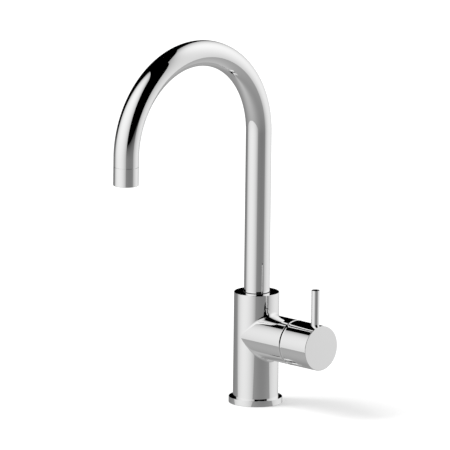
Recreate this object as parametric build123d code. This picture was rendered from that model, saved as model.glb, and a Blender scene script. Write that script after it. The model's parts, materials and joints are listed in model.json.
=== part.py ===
from build123d import *
import math
import os

# Basin mixer tap, in millimetres.
# Origin: centre of the flange's underside, on the column's axis.
# +Z is up the column, +X runs out along the handle branch, -Y is the way the spout reaches.

# Column, branch and flange
column_diameter = 44.0
column_top = 109.5
flange_diameter = 52.0
flange_thickness = 6.0
flange_chamfer = 0.3
spigot_diameter = 40.0
branch_height = 67.5
branch_end = 54.0
edge_break = 0.5

# Spout
tube_diameter = 25.0
tube_wall = 1.2
bend_radius = 90.0
bend_height = 268.2
outlet_height = 240.7
sleeve_length = 18.5
joint_line = 0.25

# Handle
cap_diameter = 44.0
cap_gap = 1.3
cap_face = 90.0
back_break = 0.8
face_break = 0.6
pin_diameter = 8.0
pin_setback = 8.7
pin_top = 124.0
pin_break = 0.4
handle_travel = 110.0

# Clearances
running = 0.1
snug = 0.05
disc_film = 0.02
overrun = 1.0
drill_slope = 0.6

# Holes for the outside world: tapping diameters and depths
stud_hole_diameter = 6.8
stud_hole_depth = 20.0
inlet_hole_diameter = 9.0
inlet_hole_depth = 14.0
inlet_spacing = 24.0
waterway_diameter = 6.0
waterway_knee = 36.0

# Seal under the flange: inner and outer radius, depth
seal_groove = (21.4, 24.2, 1.8)
seal_corner = 0.5

# Spout socket in the column, heights above the deck
chamber_floor = 56.0
stub_foot = 74.0
tube_foot = 99.0
stub_top = 115.0
stub_diameter = 24.0
stub_bore_diameter = 16.0
wiper_width = 0.4
wiper_depth = 1.5
wiper_lip = 0.35
groove_depth = 2.2
glide_grooves = ((75.5, 78.5), (94.0, 97.0))
o_ring_grooves = ((79.6, 82.4), (83.6, 86.4))
screw_groove = (88.0, 92.5)
screw_height = 90.25
screw_r = 2.5
screw_length = 8.0
screw_recess = 0.8
screw_point_r = 1.7
screw_play = 0.6
screw_chamfer = 0.4
socket_flats = 2.5
socket_share = 0.45
glide_split = 1.2
spout_ring_corner = 0.6

# Cartridge lengths, along +X from the column's axis
seat_floor = 20.0
base_rim = 23.0
base_top = 26.0
fixed_disc_top = 30.0
moving_disc_top = 34.0
carrier_top = 39.0
stops_top = 40.0
chamber_ceiling = 41.0
seat_shoulder = 43.0
nut_face = 57.0
housing_nose = 60.0
spline_start = 61.0
spline_end = 75.0
spline_room = 0.5

# Cartridge radii
seat_r = 17.7
housing_r = 17.5
nut_thread_r = 19.0
nut_point_r = 17.2
nut_lead = 2.0
nut_flats = 33.0
skirt_r = 15.6
nose_r = 14.0
chamber_r = 13.1
fixed_disc_r = 13.5
moving_disc_r = 12.6
carrier_r = 12.8
lug_r = 14.8
key_r = 1.5

# Snap hooks on the cartridge's foot: reach, heights above the rim, half of their angle
hook_reach = 1.1
hook_low = 1.2
hook_high = 2.4
hook_half_span = 12.0
foot_chamfer = 0.4

# Cartridge ports: mixed water leaves by the middle, cold and hot come in below it
port_circle = 8.4
cold_angle = 244.0
hot_angle = 296.0
slot_span = 44.0
port_bore_r = 2.4
seal_bore_r = 3.6
seal_depth = 2.0
outlet_hole_r = 3.2
pocket_depth = 1.6
pocket_inner_r = 2.0
pocket_overlap = 8.0

# Locating pegs, drive pegs and stops
peg_r = 1.8
peg_length = 2.5
peg_room = 0.5
peg_circle = 14.0
peg_angles = (20.0, 160.0)
drive_peg_r = 1.2
drive_peg_length = 1.3
drive_circle = 10.0
lug_angle = 200.0
lug_half_width = 9.0
lug_room = 0.3
stop_clearance = 1.5

# Spindle and hub
spindle_r = 5.5
collar_r = 8.0
tongue_width = 5.0
tongue_length = 14.0
tongue_depth = 3.0
ring_grooves = (46.0, 51.0)
ring_groove_r = 4.0
ring_width = 2.0
spindle_ring_corner = 0.45
spline_root_r = 4.0
spline_tip_r = 4.5
spline_teeth = 20
hub_back = 62.5
hub_r = 9.0
skirt_floor = 74.0
skirt_bore_r = 20.0
grub_x = 68.0
grub_r = 2.5
grub_length = 5.0
plug_inset = 1.5

# Lever pin below the cap's surface, heights above the deck
pin_seat = 84.0
pin_foot = 75.0
pin_thread_r = 3.0

# Aerator, heights above the deck
nipple_foot = 250.0
nipple_thread_r = 11.0
nipple_bore_r = 8.8
nipple_rise = 6.0
nipple_taper = 1.5
washer_r = 10.8
core_flange_top = 248.2
ledge = 246.5
comb_top = 244.0
core_foot = 241.4
throat_r = 9.7
throat_break = 0.3
joint_break = 0.15
core_r = 9.6
core_wall = 0.8
core_flange_r = 10.7
core_break = 0.5
cell_flats = 2.1
cell_wall = 0.4
diffuser = (245.4, 246.6)
jet_circle = 6.4
jet_flats = 1.2
jet_count = 12
screen = (246.9, 247.3)
screen_hole = 1.5
screen_pitch = 2.2

# Sizes that follow
column_r = column_diameter / 2
flange_r = flange_diameter / 2
spigot_r = spigot_diameter / 2
tube_r = tube_diameter / 2
tube_bore_r = tube_r - tube_wall
stub_r = stub_diameter / 2
stub_bore_r = stub_bore_diameter / 2
socket_r = stub_r + running
mouth_r = tube_r + 2 * running
wiper_r = mouth_r + wiper_width
groove_r = stub_r - groove_depth
spindle_bore_r = spindle_r + running
cap_r = cap_diameter / 2
cap_back = branch_end + cap_gap
pin_r = pin_diameter / 2
pin_x = cap_face - pin_setback
sleeve_top = outlet_height + sleeve_length
tube_end = sleeve_top + joint_line
outlet_y = -2 * bend_radius

# Across the handle, local X is world Y, local Y is world Z, and local Z runs out along world X
HANDLE_AXIS = Plane(origin=(0, 0, branch_height), x_dir=(0, 1, 0), z_dir=(1, 0, 0))
HANDLE_UNDERSIDE = Plane(origin=(grub_x, 0, branch_height), x_dir=(0, 1, 0), z_dir=(0, 0, -1))
OUTLET_AXIS = Plane(origin=(0, outlet_y, 0))


def turned(profile, place=Plane.XY):
    """A piece turned on a lathe: profile is (radius, height) points round its section."""
    with BuildPart() as piece:
        with BuildSketch(Plane.XZ):
            with BuildLine():
                Polyline(*profile, close=True)
            make_face()
        revolve(axis=Axis.Z)
    return place * piece.part


def rod(radius, low, high, place=Plane.XY, at=(0, 0)):
    """A plain cylinder between two heights on the place's own axis."""
    align = (Align.CENTER, Align.CENTER, Align.MIN)
    return place * Pos(at[0], at[1], low) * Cylinder(radius, high - low, align=align)


def ring(inner, outer, low, high, place=Plane.XY, corner=0.0):
    """A washer, or with a corner a seal whose four corners are broken."""
    if corner == 0.0:
        return turned([(inner, low), (outer, low), (outer, high), (inner, high)], place)
    c = corner
    profile = [
        (inner + c, low), (outer - c, low), (outer, low + c), (outer, high - c),
        (outer - c, high), (inner + c, high), (inner, high - c), (inner, low + c),
    ]
    return turned(profile, place)


def prism(outline, low, high, place=Plane.XY):
    """A flat outline raised between two heights."""
    return place * Pos(0, 0, low) * extrude(outline, high - low)


def on_circle(radius, degrees):
    """A point on a circle, counted anticlockwise from local X."""
    turn = math.radians(degrees)
    return (radius * math.cos(turn), radius * math.sin(turn))


def sector(inner, outer, start, end):
    """A curved slot's outline between two radii and two angles."""
    middle = (start + end) / 2
    outline = [
        Line(on_circle(inner, start), on_circle(outer, start)),
        ThreePointArc(on_circle(outer, start), on_circle(outer, middle), on_circle(outer, end)),
        Line(on_circle(outer, end), on_circle(inner, end)),
        ThreePointArc(on_circle(inner, end), on_circle(inner, middle), on_circle(inner, start)),
    ]
    return make_face(outline)


def hexagon(across_flats, turn=0.0):
    return RegularPolygon(across_flats / 2, 6, major_radius=False, rotation=turn)


def serrations(root, tip):
    """A splined shaft's outline: straight-flanked teeth all round."""
    pitch = 360.0 / spline_teeth
    points = []
    for tooth in range(spline_teeth):
        middle = tooth * pitch
        points.append(on_circle(root, middle - 0.34 * pitch))
        points.append(on_circle(tip, middle - 0.14 * pitch))
        points.append(on_circle(tip, middle + 0.14 * pitch))
        points.append(on_circle(root, middle + 0.34 * pitch))
    return make_face(Polyline(*points, close=True))


def grub_screw(radius, length, point_radius=0.0, point_length=0.0):
    """A set screw along +Z: hexagon socket at z = 0, flat or plain point at the far end."""
    c = screw_chamfer
    profile = [(0, 0), (radius - c, 0), (radius, c), (radius, length - c), (radius - c, length)]
    if point_length > 0.0:
        profile += [(point_radius, length), (point_radius, length + point_length)]
    profile += [(0, length + point_length)]
    return turned(profile) - prism(hexagon(socket_flats), 0, length * socket_share)


# The body: one casting whose column and branch have one diameter and meet in mitred edges

def waterway(angle, side):
    """One drilled inlet: tapped mouth below, straight rise, then a slant to its port."""
    y, z = on_circle(port_circle, angle)
    radius = waterway_diameter / 2
    mouth = Vector(seat_floor, y, branch_height + z)
    knee = Vector(0, side * inlet_spacing / 2, waterway_knee)
    slant = mouth - knee
    way = rod(radius, 0, slant.length + radius, Plane(origin=knee, z_dir=slant))
    way += rod(radius, inlet_hole_depth, waterway_knee + radius / 2, at=(0, knee.Y))
    way += rod(inlet_hole_diameter / 2, 0, inlet_hole_depth, at=(0, knee.Y))
    return way


def body_casting():
    r = column_r
    column = turned([
        (0, 0), (spigot_r, 0), (spigot_r, flange_thickness), (r, flange_thickness),
        (r, column_top - edge_break), (r - edge_break, column_top), (0, column_top),
    ])
    branch = turned([
        (0, 0), (r, 0), (r, branch_end - edge_break), (r - edge_break, branch_end), (0, branch_end),
    ], HANDLE_AXIS)

    drill_point = chamber_floor - drill_slope * stub_bore_r
    spout_socket = turned([
        (0, drill_point), (stub_bore_r, chamber_floor), (stub_bore_r, stub_foot - running),
        (socket_r, stub_foot - running), (socket_r, tube_foot - joint_line),
        (mouth_r, tube_foot - joint_line), (mouth_r, column_top - wiper_depth),
        (wiper_r, column_top - wiper_depth), (wiper_r, column_top), (0, column_top),
    ])
    cartridge_seat = turned([
        (0, seat_floor), (seat_r, seat_floor), (seat_r, seat_shoulder),
        (nut_thread_r, seat_shoulder + overrun), (nut_thread_r, branch_end), (0, branch_end),
    ], HANDLE_AXIS)
    stud_r = stud_hole_diameter / 2
    stud_hole = turned([
        (0, 0), (stud_r, 0), (stud_r, stud_hole_depth),
        (0, stud_hole_depth + drill_slope * stud_r),
    ])

    body = column + branch - spout_socket - cartridge_seat - stud_hole
    body -= rod(seal_bore_r, 0, seat_floor, HANDLE_AXIS)
    body -= waterway(cold_angle, -1)
    body -= waterway(hot_angle, 1)
    for angle in peg_angles:
        body -= rod(peg_r + running, seat_floor - peg_length - peg_room, seat_floor,
                    HANDLE_AXIS, on_circle(peg_circle, angle))
    back = Plane(origin=(0, 0, screw_height), x_dir=(1, 0, 0), z_dir=(0, 1, 0))
    return body - rod(screw_r, 0, column_r + overrun, back)


def base_flange():
    """A turned ring round the column's spigot, with a groove for its seal."""
    inner = spigot_r + snug
    flange = turned([
        (inner, 0), (flange_r - flange_chamfer, 0), (flange_r, flange_chamfer),
        (flange_r, flange_thickness - edge_break), (flange_r - edge_break, flange_thickness),
        (inner, flange_thickness),
    ])
    return flange - ring(seal_groove[0], seal_groove[1], 0, seal_groove[2])


def base_seal():
    return ring(seal_groove[0], seal_groove[1], 0, seal_groove[2], corner=seal_corner)


def spout_set_screw():
    """In the column's back: its plain point runs in the stub's groove and keeps the spout in."""
    head = column_r - screw_recess
    point = head - screw_length - groove_r - screw_play
    place = Plane(origin=(0, head, screw_height), x_dir=(1, 0, 0), z_dir=(0, -1, 0))
    return place * grub_screw(screw_r, screw_length, screw_point_r, point)


def spout_wiper():
    """Rubber lip in the column's mouth: it keeps drips out of the joint round the tube."""
    bore = tube_r + snug
    foot = column_top - wiper_depth
    crest = column_top + wiper_lip
    return turned([
        (bore, foot), (wiper_r, foot), (wiper_r, column_top), (wiper_r - wiper_lip / 2, crest),
        (bore, crest),
    ])


# The cartridge: two ceramic discs that open cold, then mixed, then hot as the spindle turns

def ports(radius):
    """Outlines of the three water passages."""
    outline = Sketch() + Circle(radius)
    for angle in (cold_angle, hot_angle):
        outline += Pos(*on_circle(port_circle, angle)) * Circle(radius)
    return outline


def cartridge_base():
    """The plastic foot: three sealed ports, two pegs and two snap hooks."""
    c = foot_chamfer
    foot = turned([
        (0, seat_floor), (housing_r - c, seat_floor), (housing_r, seat_floor + c),
        (housing_r, base_rim), (skirt_r, base_rim), (skirt_r, base_top), (0, base_top),
    ], HANDLE_AXIS)
    foot -= prism(ports(seal_bore_r), seat_floor, seat_floor + seal_depth, HANDLE_AXIS)
    foot -= prism(ports(port_bore_r), seat_floor, base_top, HANDLE_AXIS)
    for angle in peg_angles:
        foot += rod(peg_r, seat_floor - peg_length, seat_floor + overrun,
                    HANDLE_AXIS, on_circle(peg_circle, angle))
    for angle in (0, 180):
        start = angle - hook_half_span
        end = angle + hook_half_span
        hook = sector(skirt_r - overrun, skirt_r + hook_reach, start, end)
        foot += prism(hook, base_rim + hook_low, base_rim + hook_high, HANDLE_AXIS)
    return foot


def port_seals():
    """One seal round each passage, pressed flat on the seat's floor."""
    seal = ring(port_bore_r, seal_bore_r, seat_floor, seat_floor + seal_depth, HANDLE_AXIS)
    seals = [seal]
    for angle in (cold_angle, hot_angle):
        y, z = on_circle(port_circle, angle)
        seals.append(Pos(0, y, z) * seal)
    return Compound(seals)


def port_slot(angle):
    reach = port_bore_r - running
    return sector(port_circle - reach, port_circle + reach, angle - slot_span / 2, angle + slot_span / 2)


def fixed_disc():
    """Ceramic: a round outlet in the middle and a curved slot each for cold and hot."""
    outline = Circle(fixed_disc_r) - Circle(outlet_hole_r)
    outline -= port_slot(cold_angle)
    outline -= port_slot(hot_angle)
    for angle in (0, 180):
        outline -= Pos(*on_circle(fixed_disc_r, angle)) * Circle(key_r + snug)
    return prism(outline, base_top, fixed_disc_top, HANDLE_AXIS)


def moving_disc():
    """Ceramic: a pocket on its sealing face joins the slots that it covers to the outlet."""
    low = fixed_disc_top + disc_film
    start = cold_angle - slot_span / 2 - handle_travel + hot_angle - cold_angle
    end = start + slot_span + pocket_overlap
    disc = rod(moving_disc_r, low, moving_disc_top, HANDLE_AXIS)
    pocket = Circle(outlet_hole_r) + sector(pocket_inner_r, port_circle + port_bore_r, start, end)
    disc -= prism(pocket, low, low + pocket_depth, HANDLE_AXIS)
    for angle in (90, 270):
        disc -= rod(drive_peg_r + snug, moving_disc_top - drive_peg_length - running,
                    moving_disc_top, HANDLE_AXIS, on_circle(drive_circle, angle))
    return disc


def disc_carrier():
    """Plastic: takes the spindle's tongue, drives the moving disc, and meets the stops."""
    carrier = rod(carrier_r, moving_disc_top, carrier_top, HANDLE_AXIS)
    lug = sector(carrier_r - overrun, lug_r, lug_angle - lug_half_width, lug_angle + lug_half_width)
    carrier += prism(lug, moving_disc_top + lug_room, carrier_top, HANDLE_AXIS)
    slot = Rectangle(tongue_width + running, tongue_length + running)
    carrier -= prism(slot, carrier_top - tongue_depth, carrier_top, HANDLE_AXIS)
    for angle in (90, 270):
        carrier += rod(drive_peg_r, moving_disc_top - drive_peg_length, moving_disc_top,
                       HANDLE_AXIS, on_circle(drive_circle, angle))
    return carrier


def cartridge_housing():
    """The plastic shell: keys for the fixed disc, stops for the carrier, a long bearing nose."""
    shell = turned([
        (spindle_bore_r, chamber_ceiling), (chamber_r, chamber_ceiling),
        (chamber_r, fixed_disc_top), (fixed_disc_r + running, fixed_disc_top),
        (fixed_disc_r + running, base_top), (skirt_r + snug, base_top),
        (skirt_r + snug, base_rim), (housing_r, base_rim), (housing_r, seat_shoulder),
        (nose_r, seat_shoulder), (nose_r, housing_nose), (spindle_bore_r, housing_nose),
    ], HANDLE_AXIS)
    play = lug_half_width + stop_clearance
    first = lug_angle - play
    last = lug_angle + handle_travel + play
    stops = sector(chamber_r - overrun, lug_r + lug_room, first, last)
    shell -= prism(stops, moving_disc_top, stops_top, HANDLE_AXIS)
    half_window = hook_half_span + 1.0
    for angle in (0, 180):
        start = angle - half_window
        end = angle + half_window
        window = sector(skirt_r - overrun, housing_r + overrun, start, end)
        low = base_rim + hook_low - running
        high = base_rim + hook_high + running
        shell -= prism(window, low, high, HANDLE_AXIS)
        key = Pos(*on_circle(fixed_disc_r + running, angle)) * Circle(key_r)
        shell += prism(key, base_top, fixed_disc_top, HANDLE_AXIS)
    return shell


def cartridge_nut():
    """Brass nut in the branch's mouth: it holds the cartridge down on its seals."""
    bore = nose_r + running
    nut = turned([
        (bore, seat_shoulder), (nut_point_r, seat_shoulder),
        (nut_thread_r, seat_shoulder + nut_lead), (nut_thread_r, branch_end), (bore, branch_end),
    ], HANDLE_AXIS)
    head = hexagon(nut_flats) - Circle(bore)
    return nut + prism(head, branch_end, nut_face, HANDLE_AXIS)


# The handle: cap and lever pin outside, spindle inside

def handle_cap():
    """A hollow drum: thin skirt over the nut, a splined hub, and a solid face for the pin."""
    drum = turned([
        (0, hub_back), (hub_r, hub_back), (hub_r, skirt_floor), (skirt_bore_r, skirt_floor),
        (skirt_bore_r, cap_back), (cap_r - back_break, cap_back), (cap_r, cap_back + back_break),
        (cap_r, cap_face - face_break), (cap_r - face_break, cap_face), (0, cap_face),
    ], HANDLE_AXIS)
    splines = serrations(spline_root_r + snug, spline_tip_r + snug)
    drum -= prism(splines, hub_back, spline_end + spline_room, HANDLE_AXIS)
    drum -= rod(pin_r, pin_seat, branch_height + cap_r + overrun, at=(pin_x, 0))
    drum -= rod(pin_thread_r, pin_foot - overrun, pin_seat, at=(pin_x, 0))
    return drum - rod(grub_r, 0, cap_r + overrun, HANDLE_UNDERSIDE)


def lever_pin():
    """A plain round bar, its thinner threaded foot screwed down into the cap."""
    return turned([
        (0, pin_foot), (pin_thread_r, pin_foot), (pin_thread_r, pin_seat), (pin_r, pin_seat),
        (pin_r, pin_top - pin_break), (pin_r - pin_break, pin_top), (0, pin_top),
    ], Plane(origin=(pin_x, 0, 0)))


def handle_set_screw():
    """Clamps the hub on the spindle, through the hole in the skirt's underside."""
    head = branch_height - spline_tip_r - snug - grub_length
    return Plane(origin=(grub_x, 0, head)) * grub_screw(grub_r, grub_length)


def handle_plug():
    """A plain plug that closes the set screw's hole flush with the skirt."""
    barrel = rod(grub_r, skirt_bore_r - plug_inset, cap_r + overrun, HANDLE_UNDERSIDE)
    return barrel & rod(cap_r, grub_x - grub_length, grub_x + grub_length, HANDLE_AXIS)


def spindle():
    """Brass: tongue, collar, sealed journal and a splined end for the hub."""
    profile = [(0, carrier_top), (collar_r, carrier_top), (collar_r, chamber_ceiling - 2 * running)]
    profile.append((spindle_r, chamber_ceiling - 2 * running))
    for low in ring_grooves:
        profile += [(spindle_r, low), (ring_groove_r, low)]
        profile += [(ring_groove_r, low + ring_width), (spindle_r, low + ring_width)]
    profile += [(spindle_r, spline_start), (0, spline_start)]
    shaft = turned(profile, HANDLE_AXIS)
    tongue = Rectangle(tongue_width, tongue_length)
    shaft += prism(tongue, carrier_top - tongue_depth, carrier_top, HANDLE_AXIS)
    splines = serrations(spline_root_r, spline_tip_r)
    return shaft + prism(splines, spline_start, spline_end, HANDLE_AXIS)


def spindle_o_rings():
    outer = spindle_bore_r - snug
    return Compound([
        ring(ring_groove_r, outer, low + running, low + ring_width - running, HANDLE_AXIS,
             spindle_ring_corner)
        for low in ring_grooves
    ])


# The spout: gooseneck tube with a turned stub at its foot and a nipple at its outlet

def spout_tube():
    """One drawn tube: straight leg, half-circle bend, short outlet leg."""
    crown = bend_height + bend_radius
    path = Wire([
        Line((0, 0, tube_foot), (0, 0, bend_height)),
        ThreePointArc((0, 0, bend_height), (0, -bend_radius, crown), (0, outlet_y, bend_height)),
        Line((0, outlet_y, bend_height), (0, outlet_y, tube_end)),
    ])
    section = Circle(tube_r) - Circle(tube_bore_r)
    tube = sweep(Pos(0, 0, tube_foot) * section, path=path)
    expected = section.area * path.length
    print(f"spout tube: volume {tube.volume:.0f}, section times length {expected:.0f} mm3")
    return tube


def spout_stub():
    """Turned spigot brazed in the tube's foot; its grooves hold rings, seals and the screw."""
    profile = [(stub_bore_r, stub_foot), (stub_r, stub_foot)]
    for low, high in sorted((*glide_grooves, *o_ring_grooves, screw_groove)):
        profile += [(stub_r, low), (groove_r, low), (groove_r, high), (stub_r, high)]
    profile += [(stub_r, tube_foot), (tube_bore_r, tube_foot), (tube_bore_r, stub_top)]
    profile.append((stub_bore_r, stub_top))
    return turned(profile)


def glide_rings():
    """Two split plastic rings that carry the spout in its socket."""
    split = Pos(0, stub_r, 0) * Box(glide_split, 4 * groove_depth, 2 * stub_top)
    return Compound([
        ring(groove_r, socket_r - snug, low + running, high - running) - split
        for low, high in glide_grooves
    ])


def spout_o_rings():
    return Compound([
        ring(groove_r, socket_r - snug, low + 2 * running, high - 2 * running, corner=spout_ring_corner)
        for low, high in o_ring_grooves
    ])


def outlet_nipple():
    """Brazed in the outlet end: the aerator's sleeve screws on below the joint line."""
    return turned([
        (nipple_bore_r, nipple_foot), (nipple_thread_r, nipple_foot), (nipple_thread_r, tube_end),
        (tube_bore_r, tube_end), (tube_bore_r, tube_end + nipple_rise),
        (nipple_bore_r, tube_end + nipple_rise + nipple_taper),
    ], OUTLET_AXIS)


def aerator_sleeve():
    return turned([
        (throat_r, outlet_height + throat_break), (throat_r + throat_break, outlet_height),
        (tube_r - edge_break, outlet_height), (tube_r, outlet_height + edge_break),
        (tube_r, sleeve_top - joint_break), (tube_r - joint_break, sleeve_top),
        (nipple_thread_r, sleeve_top), (nipple_thread_r, ledge), (throat_r, ledge),
    ], OUTLET_AXIS)


def grid_places(pitch, row_pitch, stagger, clear, reach):
    """Places on a grid of rows whose holes lie whole inside a radius."""
    count = int(reach / row_pitch) + 1
    places = []
    for row in range(-count, count + 1):
        for column in range(-count, count + 1):
            x = (column + stagger * (row % 2)) * pitch
            y = row * row_pitch
            if math.hypot(x, y) + clear < reach:
                places.append(Pos(x, y))
    return places


def aerator_core():
    """Plastic cup that hangs on the sleeve's ledge; its foot is a honeycomb."""
    bore = core_r - core_wall
    c = core_break
    cup = turned([
        (0, core_foot), (core_r - c, core_foot), (core_r, core_foot + c), (core_r, ledge),
        (core_flange_r, ledge), (core_flange_r, core_flange_top), (bore, core_flange_top),
        (bore, comb_top), (0, comb_top),
    ], OUTLET_AXIS)
    pitch = cell_flats + cell_wall
    places = grid_places(pitch, pitch * math.sin(math.radians(60)), 0.5, cell_flats / 2, bore)
    cells = Sketch() + [place * hexagon(cell_flats, 30) for place in places]
    return cup - prism(cells, core_foot, comb_top, OUTLET_AXIS)


def aerator_diffuser():
    """A plate with a ring of jet holes, in the cup above the honeycomb."""
    plate = rod(core_r - core_wall - running, *diffuser, OUTLET_AXIS)
    step = 360.0 / jet_count
    places = [Pos(*on_circle(jet_circle, step * jet)) for jet in range(jet_count)]
    jets = Sketch() + [place * hexagon(jet_flats) for place in places]
    return plate - prism(jets, *diffuser, OUTLET_AXIS)


def aerator_screen():
    """Strainer over the diffuser: square holes between fine bars."""
    reach = core_r - core_wall - running
    plate = rod(reach, *screen, OUTLET_AXIS)
    places = grid_places(screen_pitch, screen_pitch, 0.0, screen_hole, reach)
    holes = Sketch() + [place * Rectangle(screen_hole, screen_hole) for place in places]
    return plate - prism(holes, *screen, OUTLET_AXIS)


def aerator_washer():
    return ring(nipple_bore_r, washer_r, core_flange_top, nipple_foot, OUTLET_AXIS)


parts = {
    "body_casting": body_casting(),
    "base_flange": base_flange(),
    "base_seal": base_seal(),
    "spout_set_screw": spout_set_screw(),
    "spout_wiper": spout_wiper(),
    "cartridge_base": cartridge_base(),
    "port_seals": port_seals(),
    "fixed_disc": fixed_disc(),
    "moving_disc": moving_disc(),
    "disc_carrier": disc_carrier(),
    "cartridge_housing": cartridge_housing(),
    "cartridge_nut": cartridge_nut(),
    "spindle": spindle(),
    "spindle_o_rings": spindle_o_rings(),
    "handle_cap": handle_cap(),
    "lever_pin": lever_pin(),
    "handle_set_screw": handle_set_screw(),
    "handle_plug": handle_plug(),
    "spout_tube": spout_tube(),
    "spout_stub": spout_stub(),
    "glide_rings": glide_rings(),
    "spout_o_rings": spout_o_rings(),
    "outlet_nipple": outlet_nipple(),
    "aerator_sleeve": aerator_sleeve(),
    "aerator_core": aerator_core(),
    "aerator_diffuser": aerator_diffuser(),
    "aerator_screen": aerator_screen(),
    "aerator_washer": aerator_washer(),
}

os.makedirs("parts", exist_ok=True)
for name, shape in parts.items():
    export_step(shape, f"parts/{name}.step")
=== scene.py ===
"""A chromed basin mixer tap: its pieces, their finishes, and the studio it stands in."""

import json
import math

import bmesh
import bpy
from mathutils import Matrix, Vector


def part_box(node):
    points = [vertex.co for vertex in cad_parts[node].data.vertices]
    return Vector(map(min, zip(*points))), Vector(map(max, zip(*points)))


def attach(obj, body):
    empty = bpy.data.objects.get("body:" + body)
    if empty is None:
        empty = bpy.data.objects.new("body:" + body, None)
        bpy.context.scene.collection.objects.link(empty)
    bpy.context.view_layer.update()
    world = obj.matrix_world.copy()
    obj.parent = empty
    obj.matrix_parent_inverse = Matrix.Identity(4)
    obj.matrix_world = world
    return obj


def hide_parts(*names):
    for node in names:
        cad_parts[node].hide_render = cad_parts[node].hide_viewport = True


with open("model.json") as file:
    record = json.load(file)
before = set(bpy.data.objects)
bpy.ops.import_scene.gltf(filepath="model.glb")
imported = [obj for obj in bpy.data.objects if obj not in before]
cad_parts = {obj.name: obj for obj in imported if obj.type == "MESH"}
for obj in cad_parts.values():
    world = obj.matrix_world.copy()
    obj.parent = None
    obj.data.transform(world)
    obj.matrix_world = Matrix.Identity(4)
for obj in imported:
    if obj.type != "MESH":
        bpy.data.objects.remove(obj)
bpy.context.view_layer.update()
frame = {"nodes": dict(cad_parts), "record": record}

MM = 0.001
nodes = frame["nodes"]

# Boxes of the solids, read from the frame
body_low, body_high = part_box("body_casting")
flange_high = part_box("base_flange")[1]
cap_low, cap_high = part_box("handle_cap")
pin_low, pin_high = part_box("lever_pin")
tube_low, tube_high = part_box("spout_tube")
stub_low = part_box("spout_stub")[0]
sleeve_low, sleeve_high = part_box("aerator_sleeve")
plug_low, plug_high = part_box("handle_plug")
screw_low, screw_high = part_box("spout_set_screw")
wiper_low, wiper_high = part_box("spout_wiper")

# Outer sizes that follow from the boxes, and the fine line between tube and sleeve
column_r = -body_low.y
column_top = body_high.z
branch_end = body_high.x
branch_height = (cap_low.z + cap_high.z) / 2
flange_r = flange_high.x
flange_top = flange_high.z
cap_r = cap_high.y
cap_face = cap_high.x
pin_r = pin_high.y
pin_x = (pin_low.x + pin_high.x) / 2
pin_top = pin_high.z
pin_foot = pin_low.z
plug_r = (plug_high.x - plug_low.x) / 2
plug_x = (plug_high.x + plug_low.x) / 2
screw_r = (screw_high.x - screw_low.x) / 2
screw_height = (screw_low.z + screw_high.z) / 2
wiper_r = wiper_high.y
tube_r = tube_high.y
tube_foot = tube_low.z
outlet_y = (sleeve_low.y + sleeve_high.y) / 2
bend_r = -outlet_y / 2
bend_height = tube_high.z - tube_r - bend_r
joint_line = 0.25 * MM
tube_end = sleeve_high.z + joint_line

# The narrow gap between branch and cap: the branch's rolled lip, and the cap's rim
cap_gap = 1.6 * MM
cap_back = branch_end + cap_gap
lip_start = branch_end - 1.2 * MM
lip_round = 1.0 * MM
lip_cone = 1.6 * MM
lip_lean = math.radians(50)
rim_rise = 0.15 * MM
rim_width = 1.5 * MM
rim_bevel = 1.4 * MM

# Inner sizes that the boxes don't give
tube_wall = 1.2 * MM
spigot_r = 20.0 * MM
mouth_r = tube_r + 0.2 * MM
socket_r = 12.1 * MM
chamber_r = 8.0 * MM
chamber_floor = 56.0 * MM
drill_point = 51.2 * MM
seat_floor = 20.0 * MM
seat_r = 17.7 * MM
seat_shoulder = 43.0 * MM
nut_r = 19.0 * MM
stud_r = 3.4 * MM
stud_depth = 20.0 * MM
stud_point = 2.0 * MM
stud_pitch = 1.25 * MM
inlet_r = 4.5 * MM
inlet_depth = 14.0 * MM
inlet_pitch = 1.0 * MM
inlet_y = 12.0 * MM
waterway_r = 3.0 * MM
waterway_top = 36.0 * MM
thread_depth = 0.5 * MM
screw_hole_start = 11.0 * MM
seal_groove_inner = 21.4 * MM
seal_groove_outer = 24.2 * MM
seal_groove_depth = 1.8 * MM
hub_r = 9.0 * MM
hub_back = 62.5 * MM
hub_bore_r = 4.6 * MM
hub_bore_end = 75.5 * MM
skirt_bore_r = 20.0 * MM
skirt_floor = 74.0 * MM
plug_hole_start = 2.0 * MM
pin_seat = 84.0 * MM
pin_thread_r = 3.0 * MM
nipple_thread_r = 11.0 * MM
throat_r = 9.7 * MM
ledge = 246.5 * MM
slip_fit = 0.05 * MM

# Steps round the pieces and their roundings, and how far the polished edges are rounded
TURN_STEPS = 128
PIN_STEPS = 96
PIN_SEAT_STEPS = 64
HOLE_STEPS = 48
BEND_STEPS = 120
ROUNDING_STEPS = 3
JOINT_ROUNDING_STEPS = 2
LIP_STEPS = 8
RIM_STEPS = 8
FILLET_STEPS = 6
edge_round = 0.5 * MM
fine_round = 0.25 * MM
joint_round = 0.12 * MM
mitre_round = 2.8 * MM
face_round = 0.6 * MM
pin_round = 0.2 * MM

# From what angle an edge is sharp, and how near a point is to count as touching another, as on
# a plane, or as on a round wall. A wall's faces point along its own direction to this cosine.
SHARP = math.radians(28)
MITRE_SHARP = math.radians(4)
TOUCHING = 0.001 * MM
ON_PLANE = 0.01 * MM
ON_WALL = 0.02 * MM
ALONG_WALL = 0.9

# Lines that the pieces turn about: local Z is the axis
UPRIGHT = Matrix.Identity(4)
OUTLET = Matrix.Translation((0, outlet_y, 0))
PIN = Matrix.Translation((pin_x, 0, 0))
HANDLE = Matrix(((0, 0, 1, 0), (1, 0, 0, 0), (0, 1, 0, branch_height), (0, 0, 0, 1)))
COLUMN_BACK = Matrix.Translation((0, 0, screw_height)) @ Matrix.Rotation(-math.pi / 2, 4, "X")
CAP_UNDERSIDE = Matrix.Translation((plug_x, 0, branch_height)) @ Matrix.Rotation(math.pi, 4, "X")


# Modelling

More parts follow.
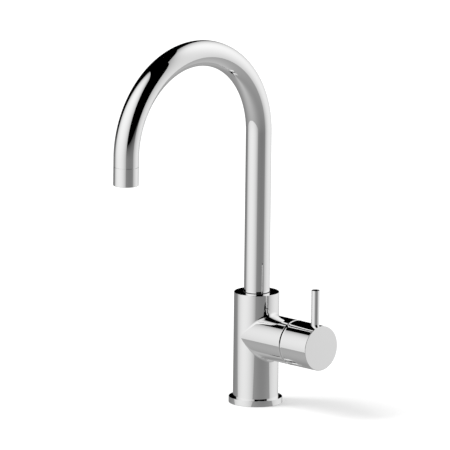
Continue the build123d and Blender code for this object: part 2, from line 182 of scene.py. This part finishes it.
def turn(bm, profile, place=UPRIGHT, steps=TURN_STEPS):
    """Turns an open section of (radius, height) points once round the place's Z axis."""
    points = [bm.verts.new(place @ Vector((radius, 0, height))) for radius, height in profile]
    lines = [bm.edges.new(pair) for pair in zip(points, points[1:])]
    axis = place.to_3x3() @ Vector((0, 0, 1))
    bmesh.ops.spin(bm, geom=points + lines, cent=place.translation, axis=axis,
                   angle=math.tau, steps=steps, use_merge=True)


def weld(bm):
    """Joins what touches, closes the poles and turns every face outwards."""
    bmesh.ops.remove_doubles(bm, verts=bm.verts, dist=TOUCHING)
    bmesh.ops.dissolve_degenerate(bm, edges=bm.edges, dist=TOUCHING)
    bmesh.ops.recalc_face_normals(bm, faces=bm.faces)


def corners(bm, keep, least=SHARP):
    """The edges, sharper than the angle least, whose two ends both pass the test keep."""
    return [e for e in bm.edges if e.is_manifold and e.calc_face_angle() > least
            and all(keep(v.co) for v in e.verts)]


def soften(bm, edges, width, segments=ROUNDING_STEPS):
    """Rounds the edges over this width on each side."""
    bmesh.ops.bevel(bm, geom=edges, offset=width, offset_type="OFFSET", affect="EDGES",
                    segments=segments, profile=0.5, material=-1, clamp_overlap=True)


def new_object(name, bm):
    """Turns the finished shape into an object of the scene."""
    mesh = bpy.data.meshes.new(name)
    bm.to_mesh(mesh)
    bm.free()
    obj = bpy.data.objects.new(name, mesh)
    bpy.context.scene.collection.objects.link(obj)
    return obj


def piece(name, bm, body, slot, *stands_for):
    """Makes the shape a piece of the tap, smooth but for its sharp edges."""
    for face in bm.faces:
        face.smooth = True
    for edge in bm.edges:
        edge.smooth = not (edge.is_manifold and edge.calc_face_angle() > SHARP)
    obj = new_object(name, bm)
    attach(obj, body)
    if stands_for:
        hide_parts(*stands_for)
    obj.data.materials.append(finishes[slot])
    return obj


def apply_modifiers(obj):
    """Writes the outcome of the piece's modifiers into its mesh."""
    graph = bpy.context.evaluated_depsgraph_get()
    finished = bpy.data.meshes.new_from_object(obj.evaluated_get(graph))
    obj.modifiers.clear()
    obj.data = finished


def drill(obj, profile, place=UPRIGHT, steps=HOLE_STEPS):
    """Cuts a tool out of a piece: a section that begins and ends on the axis, turned about it."""
    bm = bmesh.new()
    turn(bm, profile, place, steps)
    weld(bm)
    tool = new_object("tool", bm)
    cut = obj.modifiers.new("drill", "BOOLEAN")
    cut.operation = "DIFFERENCE"
    cut.solver = "EXACT"
    cut.object = tool
    apply_modifiers(obj)
    mesh = tool.data
    bpy.data.objects.remove(tool)
    bpy.data.meshes.remove(mesh)


def round_by_weight(obj, radius):
    """Rounds the weighted edges as a ball of this radius would, rolled along them."""
    rounding = obj.modifiers.new("rolled fillet", "BEVEL")
    rounding.limit_method = "WEIGHT"
    rounding.offset_type = "OFFSET"
    rounding.width = radius
    rounding.segments = FILLET_STEPS
    rounding.profile = 0.5
    apply_modifiers(obj)


def even_normals(obj):
    """Flat faces stay flat and their rounded edges run smoothly into them."""
    weighted = obj.modifiers.new("even normals", "WEIGHTED_NORMAL")
    weighted.keep_sharp = True
    weighted.weight = 50
    apply_modifiers(obj)


def true_normals(obj, rounds):
    """On each round wall, given as (place, radius), every corner takes the wall's own direction."""
    mesh = obj.data
    directions = [Vector(n.vector) for n in mesh.corner_normals]
    for face in mesh.polygons:
        for place, radius in rounds:
            to_wall = place.inverted()
            local = [to_wall @ mesh.vertices[v].co for v in face.vertices]
            if any(abs(p.xy.length - radius) > ON_WALL for p in local):
                continue
            middle = to_wall @ face.center
            outward = (place.to_3x3() @ Vector((middle.x, middle.y, 0))).normalized()
            facing_out = outward.dot(face.normal)
            if abs(facing_out) < ALONG_WALL:
                continue
            side = math.copysign(1.0, facing_out)
            for loop, p in zip(face.loop_indices, local):
                directions[loop] = (place.to_3x3() @ Vector((p.x, p.y, 0))).normalized() * side
            break
    mesh.normals_split_custom_set(directions)


# Finishes

def node(tree, kind, **values):
    """Adds a shader node and sets its properties, or its inputs where a name is an input's."""
    made = tree.nodes.new(kind)
    for name, value in values.items():
        if hasattr(made, name):
            setattr(made, name, value)
        else:
            made.inputs[name.replace("_", " ")].default_value = value
    return made


def polish_group():
    """Faint haze left by polishing: a roughness that drifts between two values."""
    group = bpy.data.node_groups.new("polish_haze", "ShaderNodeTree")
    for name, kind in (("Vector", "NodeSocketVector"), ("Scale", "NodeSocketFloat"),
                       ("Clear", "NodeSocketFloat"), ("Hazy", "NodeSocketFloat")):
        group.interface.new_socket(name, in_out="INPUT", socket_type=kind)
    group.interface.new_socket("Roughness", in_out="OUTPUT", socket_type="NodeSocketFloat")
    enter = group.nodes.new("NodeGroupInput")
    leave = group.nodes.new("NodeGroupOutput")
    haze = node(group, "ShaderNodeTexNoise", Detail=4.0, Roughness=0.6)
    spread = node(group, "ShaderNodeMapRange", From_Min=0.35, From_Max=0.65)
    link = group.links.new
    link(enter.outputs["Vector"], haze.inputs["Vector"])
    link(enter.outputs["Scale"], haze.inputs["Scale"])
    link(haze.outputs["Fac"], spread.inputs["Value"])
    link(enter.outputs["Clear"], spread.inputs["To Min"])
    link(enter.outputs["Hazy"], spread.inputs["To Max"])
    link(spread.outputs["Result"], leave.inputs["Roughness"])
    return group


def metal(name, colour, clear, hazy, scale):
    """A polished or turned metal whose gloss drifts a little over the surface."""
    material = bpy.data.materials.new(name)
    material.use_nodes = True
    tree = material.node_tree
    surface = tree.nodes["Principled BSDF"]
    surface.inputs["Base Color"].default_value = (*colour, 1.0)
    surface.inputs["Metallic"].default_value = 1.0
    place = node(tree, "ShaderNodeTexCoord")
    haze = tree.nodes.new("ShaderNodeGroup")
    haze.node_tree = polish
    haze.inputs["Scale"].default_value = scale
    haze.inputs["Clear"].default_value = clear
    haze.inputs["Hazy"].default_value = hazy
    tree.links.new(place.outputs["Object"], haze.inputs["Vector"])
    tree.links.new(haze.outputs["Roughness"], surface.inputs["Roughness"])
    return material


def moulded(name, colour, roughness, grain):
    """A plastic, rubber or ceramic with a fine grain in its surface."""
    material = bpy.data.materials.new(name)
    material.use_nodes = True
    tree = material.node_tree
    surface = tree.nodes["Principled BSDF"]
    surface.inputs["Roughness"].default_value = roughness
    place = node(tree, "ShaderNodeTexCoord")
    speckle = node(tree, "ShaderNodeTexNoise", Scale=900.0, Detail=3.0)
    tone = node(tree, "ShaderNodeMapRange", From_Min=0.3, From_Max=0.7, To_Min=0.92, To_Max=1.04)
    tint = node(tree, "ShaderNodeMix", data_type="RGBA", blend_type="MULTIPLY")
    tint.inputs["Factor"].default_value = 1.0
    tint.inputs["A"].default_value = (*colour, 1.0)
    relief = node(tree, "ShaderNodeBump", Strength=grain, Distance=0.02 * MM)
    link = tree.links.new
    link(place.outputs["Object"], speckle.inputs["Vector"])
    link(speckle.outputs["Fac"], tone.inputs["Value"])
    link(tone.outputs["Result"], tint.inputs["B"])
    link(tint.outputs["Result"], surface.inputs["Base Color"])
    link(speckle.outputs["Fac"], relief.inputs["Height"])
    link(relief.outputs["Normal"], surface.inputs["Normal"])
    return material


polish = polish_group()
finishes = {
    "polished_chrome": metal("polished_chrome", (0.95, 0.95, 0.95), clear=0.015, hazy=0.035, scale=60.0),
    "turned_brass": metal("turned_brass", (0.85, 0.66, 0.34), clear=0.16, hazy=0.3, scale=300.0),
    "stainless_steel": metal("stainless_steel", (0.62, 0.62, 0.63), clear=0.14, hazy=0.26, scale=400.0),
    "cartridge_plastic": moulded("cartridge_plastic", (0.04, 0.045, 0.05), roughness=0.45, grain=0.3),
    "pale_plastic": moulded("pale_plastic", (0.75, 0.76, 0.77), roughness=0.35, grain=0.15),
    "black_rubber": moulded("black_rubber", (0.02, 0.02, 0.02), roughness=0.7, grain=0.5),
    "disc_ceramic": moulded("disc_ceramic", (0.83, 0.81, 0.76), roughness=0.12, grain=0.05),
}
slot_of = {part["node"]: part["material_slot"] for part in frame["record"]["subparts"]}
for name, obj in nodes.items():
    obj.data.materials.clear()
    obj.data.materials.append(finishes[slot_of[name]])


# The pieces

def threaded(radius, depth, pitch):
    """The section of a tapping tool with its thread rings, from below the deck to this depth."""
    profile = [(0, -1 * MM), (radius + thread_depth, -1 * MM), (radius + thread_depth, 0)]
    for ring in range(int(depth / pitch) - 1):
        profile.append((radius, (ring + 0.5) * pitch))
        profile.append((radius + thread_depth, (ring + 1.0) * pitch))
    profile += [(radius, depth - 0.5 * pitch), (radius, depth)]
    return profile


def plain_hole(radius, start, end):
    """The section of a straight tool between two distances from the axis it is set square to."""
    return [(0, start), (radius, start), (radius, end), (0, end)]


def rolled_lip():
    """The branch's end, rolled over into a short cone that runs down into the gap."""
    lip = []
    for step in range(LIP_STEPS + 1):
        tilt = lip_lean * step / LIP_STEPS
        lip.append((column_r - lip_round * (1 - math.cos(tilt)),
                    lip_start + lip_round * math.sin(tilt)))
    cone_r, cone_start = lip[-1]
    lip.append((cone_r - lip_cone * math.sin(lip_lean), cone_start + lip_cone * math.cos(lip_lean)))
    return lip


def cut_along_mitre(bm, clear_inner):
    """Cuts a wall along the two planes where column and branch meet."""
    for slope in (1, -1):
        bmesh.ops.bisect_plane(bm, geom=bm.verts[:] + bm.edges[:] + bm.faces[:], dist=TOUCHING,
                               plane_co=(0, 0, branch_height), plane_no=(1, 0, slope),
                               clear_inner=clear_inner)


def column_wall(bm):
    """The column's outer wall, open where the branch leaves it."""
    turn(bm, [(column_r, flange_top), (column_r, column_top)])
    cut_along_mitre(bm, clear_inner=False)
    inside = [f for f in bm.faces
              if f.calc_center_median().x > abs(f.calc_center_median().z - branch_height)]
    bmesh.ops.delete(bm, geom=inside, context="FACES")


def branch_wall(bm):
    """The branch's outer wall with its rolled lip, and the cartridge's seat inside it."""
    branch = bmesh.new()
    lip = rolled_lip()
    lip_end = lip[-1][1]
    turn(branch, [(column_r, 0), *lip], HANDLE)
    cut_along_mitre(branch, clear_inner=True)
    turn(branch, [lip[-1], (nut_r, lip_end), (nut_r, seat_shoulder + MM), (seat_r, seat_shoulder),
                  (seat_r, seat_floor), (0, seat_floor)], HANDLE)
    mesh = bpy.data.meshes.new("branch")
    branch.to_mesh(mesh)
    branch.free()
    bm.from_mesh(mesh)
    bpy.data.meshes.remove(mesh)


def column_bores(bm):
    """The column's mouth, the spout's socket and the chamber below it, and the column's foot."""
    turn(bm, [(column_r, column_top), (wiper_r, column_top), (wiper_r, wiper_low.z),
              (mouth_r, wiper_low.z), (mouth_r, tube_foot - joint_line),
              (socket_r, tube_foot - joint_line), (socket_r, stub_low.z), (chamber_r, stub_low.z),
              (chamber_r, chamber_floor), (0, drill_point)])
    turn(bm, [(column_r, flange_top), (spigot_r, flange_top), (spigot_r, 0), (0, 0)])


def weigh_mitre(bm):
    """Weights the mitre's edges, so that one bevel width rounds them all with one radius."""
    fillet = bm.edges.layers.float.new("bevel_weight_edge")
    for edge in corners(bm, lambda p: abs(p.x - abs(p.z - branch_height)) < ON_PLANE, MITRE_SHARP):
        edge[fillet] = math.tan(edge.calc_face_angle() / 2)


def deck_holes(obj):
    """The stud's hole and the two hose holes in the underside, with the water ways above them."""
    drill(obj, threaded(stud_r, stud_depth, stud_pitch) + [(0, stud_depth + stud_point)])
    water_way = [(waterway_r, inlet_depth), (waterway_r, waterway_top), (0, waterway_top)]
    for side in (-1, 1):
        drill(obj, threaded(inlet_r, inlet_depth, inlet_pitch) + water_way,
              Matrix.Translation((0, side * inlet_y, 0)))


def tap_body():
    """Column and branch of one diameter, mitred where they meet, with the bores inside them."""
    bm = bmesh.new()
    column_wall(bm)
    branch_wall(bm)
    column_bores(bm)
    weld(bm)
    weigh_mitre(bm)
    soften(bm, corners(bm, lambda p: p.z > column_top - MM and p.xy.length > column_r - MM), edge_round)
    obj = piece("tap_body", bm, "body", "polished_chrome", "body_casting")
    round_by_weight(obj, mitre_round)
    deck_holes(obj)
    drill(obj, plain_hole(screw_r, screw_hole_start, column_r + MM), COLUMN_BACK)
    even_normals(obj)
    true_normals(obj, [(UPRIGHT, column_r), (HANDLE, column_r)])


def deck_flange():
    """The turned ring under the column, with the groove for its seal."""
    bm = bmesh.new()
    turn(bm, [(spigot_r, 0), (seal_groove_inner, 0), (seal_groove_inner, seal_groove_depth),
              (seal_groove_outer, seal_groove_depth), (seal_groove_outer, 0), (flange_r, 0),
              (flange_r, flange_top), (spigot_r, flange_top), (spigot_r, 0)])
    weld(bm)
    soften(bm, corners(bm, lambda p: p.xy.length > flange_r - MM), fine_round)
    obj = piece("deck_flange", bm, "body", "polished_chrome", "base_flange")
    even_normals(obj)


def gooseneck():
    """Drawn tube: a straight leg, a half-circle bend and a short outlet leg."""
    bm = bmesh.new()
    for radius in (tube_r, tube_r - tube_wall):
        ring = bmesh.ops.create_circle(bm, segments=TURN_STEPS, radius=radius,
                                       matrix=Matrix.Translation((0, 0, tube_foot)))["verts"]
        rim = list({e for v in ring for e in v.link_edges})
        risen = bmesh.ops.extrude_edge_only(bm, edges=rim)["geom"]
        top = [v for v in risen if isinstance(v, bmesh.types.BMVert)]
        bmesh.ops.translate(bm, verts=top, vec=(0, 0, bend_height - tube_foot))
        rim = [e for e in risen if isinstance(e, bmesh.types.BMEdge)]
        bent = bmesh.ops.spin(bm, geom=top + rim, cent=(0, -bend_r, bend_height), axis=(1, 0, 0),
                              angle=math.pi, steps=BEND_STEPS)["geom_last"]
        rim = [e for e in bent if isinstance(e, bmesh.types.BMEdge)]
        fallen = bmesh.ops.extrude_edge_only(bm, edges=rim)["geom"]
        end = [v for v in fallen if isinstance(v, bmesh.types.BMVert)]
        bmesh.ops.translate(bm, verts=end, vec=(0, 0, tube_end - bend_height))
    open_edges = [e for e in bm.edges if e.is_boundary]
    for at_foot in (True, False):
        loops = [e for e in open_edges if (e.verts[0].co.y > -bend_r) == at_foot]
        bmesh.ops.bridge_loops(bm, edges=loops)
    weld(bm)
    obj = piece("gooseneck", bm, "spout", "polished_chrome", "spout_tube")
    even_normals(obj)


def outlet_sleeve():
    """The ring that holds the aerator, flush with the tube."""
    bm = bmesh.new()
    turn(bm, [(throat_r, ledge), (throat_r, sleeve_low.z), (tube_r, sleeve_low.z),
              (tube_r, sleeve_high.z), (nipple_thread_r, sleeve_high.z), (nipple_thread_r, ledge),
              (throat_r, ledge)], OUTLET)
    weld(bm)
    soften(bm, corners(bm, lambda p: p.z < sleeve_low.z + ON_PLANE), edge_round)
    rim = corners(bm, lambda p: p.z > sleeve_high.z - ON_PLANE
                  and (p - Vector((0, outlet_y, p.z))).length > tube_r - ON_WALL)
    soften(bm, rim, joint_round, JOINT_ROUNDING_STEPS)
    obj = piece("outlet_sleeve", bm, "spout", "polished_chrome", "aerator_sleeve")
    even_normals(obj)


def flared_rim():
    """The cap's back rim, where the wall runs out to a low crown at the gap."""
    run_out = []
    for step in range(RIM_STEPS + 1):
        along = step / RIM_STEPS
        run_out.append((cap_r + rim_rise * along ** 2, cap_back + rim_width * (1 - along)))
    return run_out


def handle_drum():
    """The hollow cap: skirt, splined hub and solid face, with the holes for pin and plug."""
    bm = bmesh.new()
    turn(bm, [(0, cap_face), (cap_r, cap_face), *flared_rim(), (skirt_bore_r, cap_back + rim_bevel),
              (skirt_bore_r, skirt_floor), (hub_r, skirt_floor), (hub_r, hub_back),
              (hub_bore_r, hub_back), (hub_bore_r, hub_bore_end), (0, hub_bore_end)], HANDLE)
    weld(bm)
    soften(bm, corners(bm, lambda p: p.x > cap_face - ON_PLANE), face_round)
    obj = piece("handle_drum", bm, "handle", "polished_chrome", "handle_cap")
    above = branch_height + cap_r + MM
    drill(obj, [(0, pin_foot - MM), (pin_thread_r, pin_foot - MM), (pin_thread_r, pin_seat),
                (pin_r + slip_fit, pin_seat), (pin_r + slip_fit, above), (0, above)],
          PIN, PIN_SEAT_STEPS)
    drill(obj, plain_hole(plug_r, plug_hole_start, cap_r + MM), CAP_UNDERSIDE)
    even_normals(obj)
    true_normals(obj, [(HANDLE, cap_r)])


def lever_bar():
    """The round bar that stands in the cap on its threaded foot."""
    bm = bmesh.new()
    turn(bm, [(0, pin_foot), (pin_thread_r, pin_foot), (pin_thread_r, pin_seat), (pin_r, pin_seat),
              (pin_r, pin_top), (0, pin_top)], PIN, PIN_STEPS)
    weld(bm)
    soften(bm, corners(bm, lambda p: p.z > pin_top - ON_PLANE), pin_round)
    obj = piece("lever_bar", bm, "handle", "polished_chrome", "lever_pin")
    even_normals(obj)


def tube_wiper():
    """The thin rubber lip that seals the column's mouth round the tube."""
    bm = bmesh.new()
    bore = tube_r + slip_fit
    turn(bm, [(bore, wiper_low.z), (wiper_r, wiper_low.z), (wiper_r, wiper_high.z),
              (bore, wiper_high.z), (bore, wiper_low.z)])
    weld(bm)
    soften(bm, corners(bm, lambda p: p.z > wiper_high.z - ON_PLANE), joint_round)
    piece("tube_wiper", bm, "body", "black_rubber", "spout_wiper")


tap_body()
tube_wiper()
deck_flange()
gooseneck()
outlet_sleeve()
handle_drum()
lever_bar()


# Camera: from the front and the user's right and a little above, with parallel sight lines

VIEW_AZIMUTH = math.radians(45.403)
VIEW_ELEVATION = math.radians(12.313)
VIEW_ROLL = math.radians(0.722)
FRAME_WIDTH = 436.47 * MM
AIM_RIGHT = -31.587 * MM
AIM_UP = 170.909 * MM
CAMERA_DISTANCE = 3.0

right = Vector((math.cos(VIEW_AZIMUTH), math.sin(VIEW_AZIMUTH), 0))
towards = Vector((math.sin(VIEW_AZIMUTH) * math.cos(VIEW_ELEVATION),
                  -math.cos(VIEW_AZIMUTH) * math.cos(VIEW_ELEVATION), math.sin(VIEW_ELEVATION)))
up = towards.cross(right)
aim = AIM_RIGHT * right + AIM_UP * up
rolled_right = right * math.cos(VIEW_ROLL) + up * math.sin(VIEW_ROLL)
rolled_up = up * math.cos(VIEW_ROLL) - right * math.sin(VIEW_ROLL)
lens = bpy.data.cameras.new("camera")
lens.type = "ORTHO"
lens.ortho_scale = FRAME_WIDTH
camera = bpy.data.objects.new("camera", lens)
turned = Matrix((rolled_right, rolled_up, towards)).transposed().to_4x4()
camera.matrix_world = Matrix.Translation(aim + CAMERA_DISTANCE * towards) @ turned
bpy.context.scene.collection.objects.link(camera)
bpy.context.scene.camera = camera


# Studio: two light walls face each other across the tap, and a grey floor lies below. Past their
# edges the room is black. All of it is seen in the chrome alone. Distances are in metres.

FRONT_WALL_AZIMUTH = math.radians(-102.7)
FRONT_WALL_DISTANCE = 1.167
FRONT_WALL_LEFT = -1.75
FRONT_WALL_RIGHT = 1.57
FRONT_WALL_TOP = 4.11
BACK_WALL_AZIMUTH = math.radians(72.7)
BACK_WALL_DISTANCE = 1.229
BACK_WALL_LEFT = -1.89
BACK_WALL_RIGHT = 1.875
BACK_WALL_TOP = 4.40
WALL_FOOT = -0.342
GREY_FLOOR_HEIGHT = -0.442
GREY_FLOOR_LEVEL = 0.422
GREY_FLOOR_SWING = 0.105
GREY_FLOOR_FADE_REACH = 5.03
GREY_FLOOR_FADE_POWER = 1.217
WALL_AXIS_AZIMUTH = math.radians(75.0)
ROOM_REACH = 30.0
ROOM_DROP = 0.01


def only_reflected(obj, material):
    """Gives a stage object its material, and hides it from all but reflections."""
    obj.data.materials.append(material)
    obj.visible_camera = False
    obj.visible_diffuse = False
    obj.visible_shadow = False


def card(name, left, right, low, high, place):
    """A flat card in the place's XY plane."""
    bm = bmesh.new()
    outline = ((left, low), (right, low), (right, high), (left, high))
    bm.faces.new([bm.verts.new((x, y, 0)) for x, y in outline])
    obj = new_object(name, bm)
    obj.matrix_world = place
    return obj


def math_node(tree, operation, *values):
    """Adds one step of arithmetic on numbers and sockets, and gives its output."""
    made = node(tree, "ShaderNodeMath", operation=operation)
    for socket, value in zip(made.inputs, values):
        if isinstance(value, (int, float)):
            socket.default_value = value
        else:
            tree.links.new(value, socket)
    return made.outputs[0]


def bell(tree, value, centre, width):
    """A smooth hump: 1 at the centre and falling off over the width."""
    offset = math_node(tree, "SUBTRACT", value, centre)
    scaled = math_node(tree, "DIVIDE", offset, width)
    squared = math_node(tree, "MULTIPLY", scaled, scaled)
    return math_node(tree, "POWER", math.e, math_node(tree, "MULTIPLY", squared, -1.0))


def glowing(name):
    """An unlit material: its tree, the card's own coordinates, and the socket for its strength."""
    material = bpy.data.materials.new(name)
    material.use_nodes = True
    tree = material.node_tree
    tree.nodes.clear()
    place = node(tree, "ShaderNodeTexCoord")
    split = node(tree, "ShaderNodeSeparateXYZ")
    light = node(tree, "ShaderNodeEmission")
    out = node(tree, "ShaderNodeOutputMaterial")
    tree.links.new(place.outputs["Object"], split.inputs[0])
    tree.links.new(light.outputs["Emission"], out.inputs["Surface"])
    material.cycles.emission_sampling = "NONE"
    return material, tree, split.outputs["X"], split.outputs["Y"], light.inputs["Strength"]


def wall_light(name, least, rise, centre, width, middle, height):
    """Brightest about its middle and dimmer towards its edges."""
    material, tree, across, up_wall, strength = glowing(name)
    sideways = bell(tree, across, centre, width)
    upwards = bell(tree, up_wall, middle, height)
    hump = math_node(tree, "MULTIPLY", sideways, upwards)
    tree.links.new(math_node(tree, "MULTIPLY_ADD", hump, rise, least), strength)
    return material


def floor_light():
    """Painted light on the reflected floor card: grey below the tap, with a painted fall-off that
    darkens it with distance, and painted pools of light, brighter on the sides of the light walls.
    """
    never_zero = 0.001
    material, tree, sideways, forwards, strength = glowing("grey_floor")
    side_square = math_node(tree, "MULTIPLY", sideways, sideways)
    forward_square = math_node(tree, "MULTIPLY", forwards, forwards)
    square = math_node(tree, "ADD", side_square, forward_square)
    # Painted fall-off of the walls' light: darker with distance from the tap.
    reach = math_node(tree, "DIVIDE", math_node(tree, "SQRT", square), GREY_FLOOR_FADE_REACH)
    fall = math_node(tree, "ADD", math_node(tree, "POWER", reach, GREY_FLOOR_FADE_POWER), 1.0)
    # Painted pools of light: brighter in the directions of the two light walls, as if lit by them.
    painted_light_lobes = math_node(tree, "DIVIDE", math_node(tree, "SUBTRACT", forward_square, side_square),
                      math_node(tree, "ADD", square, never_zero))
    level = math_node(tree, "MULTIPLY_ADD", painted_light_lobes, GREY_FLOOR_SWING, GREY_FLOOR_LEVEL)
    tree.links.new(math_node(tree, "DIVIDE", level, fall), strength)
    return material


def facing(azimuth, distance):
    """A wall's place: it faces the tap from a compass direction, its Y axis upwards."""
    outward = Vector((math.cos(azimuth), math.sin(azimuth), 0))
    side = Vector((-math.sin(azimuth), math.cos(azimuth), 0))
    basis = Matrix((side, Vector((0, 0, 1)), outward)).transposed().to_4x4()
    return Matrix.Translation(outward * distance) @ basis


def light_walls():
    """One wall before the tap and one behind it, each a little brighter in its middle."""
    front = card("front_light_wall", FRONT_WALL_LEFT, FRONT_WALL_RIGHT, WALL_FOOT, FRONT_WALL_TOP,
                 facing(FRONT_WALL_AZIMUTH, FRONT_WALL_DISTANCE))
    only_reflected(front, wall_light("front_light", least=0.003, rise=0.967, centre=-0.09,
                                     width=1.857, middle=1.235, height=3.713))
    back = card("back_light_wall", BACK_WALL_LEFT, BACK_WALL_RIGHT, WALL_FOOT, BACK_WALL_TOP,
                facing(BACK_WALL_AZIMUTH, BACK_WALL_DISTANCE))
    only_reflected(back, wall_light("back_light", least=0.207, rise=0.778, centre=0.054,
                                    width=1.839, middle=1.332, height=2.873))


def dark_room():
    """The grey floor, and the black room round everything."""
    level = (Matrix.Translation((0, 0, GREY_FLOOR_HEIGHT))
             @ Matrix.Rotation(WALL_AXIS_AZIMUTH - math.pi / 2, 4, "Z"))
    floor = card("grey_floor", -ROOM_REACH, ROOM_REACH, -ROOM_REACH, ROOM_REACH, level)
    only_reflected(floor, floor_light())
    bm = bmesh.new()
    bmesh.ops.create_cube(bm, size=2 * ROOM_REACH)
    room = new_object("black_room", bm)
    room.location.z = ROOM_REACH + GREY_FLOOR_HEIGHT - ROOM_DROP
    black, *_, strength = glowing("black_room")
    strength.default_value = 0.0
    only_reflected(room, black)


light_walls()
dark_room()


# Floor, lamp and background

PALE_FLOOR_RADIUS = 6.0
PALE_FLOOR_TONE = 0.88
PALE_FLOOR_LIFT = 0.14
LAMP_PLACE = Vector((-3.5, -4.0, 6.5))
LAMP_SIZE = 3.5
LAMP_POWER = 360.0
FILL_LEVEL = 0.84


def pale_floor():
    """A matt floor that takes the shadow, lifted for the camera to the background's white."""
    bm = bmesh.new()
    bmesh.ops.create_circle(bm, cap_ends=True, segments=96, radius=PALE_FLOOR_RADIUS)
    floor = new_object("floor", bm)
    floor.visible_glossy = False
    material = bpy.data.materials.new("pale_floor")
    material.use_nodes = True
    tree = material.node_tree
    tree.nodes.clear()
    matt = node(tree, "ShaderNodeBsdfDiffuse")
    matt.inputs["Color"].default_value = (PALE_FLOOR_TONE, PALE_FLOOR_TONE, PALE_FLOOR_TONE, 1.0)
    lift = node(tree, "ShaderNodeEmission")
    seen = node(tree, "ShaderNodeLightPath")
    strength = math_node(tree, "MULTIPLY", seen.outputs["Is Camera Ray"], PALE_FLOOR_LIFT)
    tree.links.new(strength, lift.inputs["Strength"])
    both = node(tree, "ShaderNodeAddShader")
    out = node(tree, "ShaderNodeOutputMaterial")
    tree.links.new(matt.outputs["BSDF"], both.inputs[0])
    tree.links.new(lift.outputs["Emission"], both.inputs[1])
    tree.links.new(both.outputs["Shader"], out.inputs["Surface"])
    material.cycles.emission_sampling = "NONE"
    floor.data.materials.append(material)


def lamp():
    """One large soft lamp, high on the left and in front."""
    light = bpy.data.lights.new("soft_lamp", "AREA")
    light.shape = "SQUARE"
    light.size = LAMP_SIZE
    light.energy = LAMP_POWER
    obj = bpy.data.objects.new("soft_lamp", light)
    obj.location = LAMP_PLACE
    obj.rotation_euler = (-LAMP_PLACE).to_track_quat("-Z", "Y").to_euler()
    obj.visible_glossy = False
    bpy.context.scene.collection.objects.link(obj)


def background():
    """White to the camera and in reflections, and a little dimmer as fill light."""
    world = bpy.data.worlds.new("studio")
    bpy.context.scene.world = world
    world.use_nodes = True
    tree = world.node_tree
    fill = tree.nodes["Background"]
    fill.inputs["Color"].default_value = (1.0, 1.0, 1.0, 1.0)
    seen = node(tree, "ShaderNodeLightPath")
    direct = math_node(tree, "MAXIMUM", seen.outputs["Is Camera Ray"], seen.outputs["Is Glossy Ray"])
    direct = math_node(tree, "MAXIMUM", direct, seen.outputs["Is Transmission Ray"])
    level = node(tree, "ShaderNodeMapRange", To_Min=FILL_LEVEL, To_Max=1.0)
    tree.links.new(direct, level.inputs["Value"])
    tree.links.new(level.outputs["Result"], fill.inputs["Strength"])


pale_floor()
lamp()
background()
bpy.context.scene.view_settings.view_transform = "Standard"
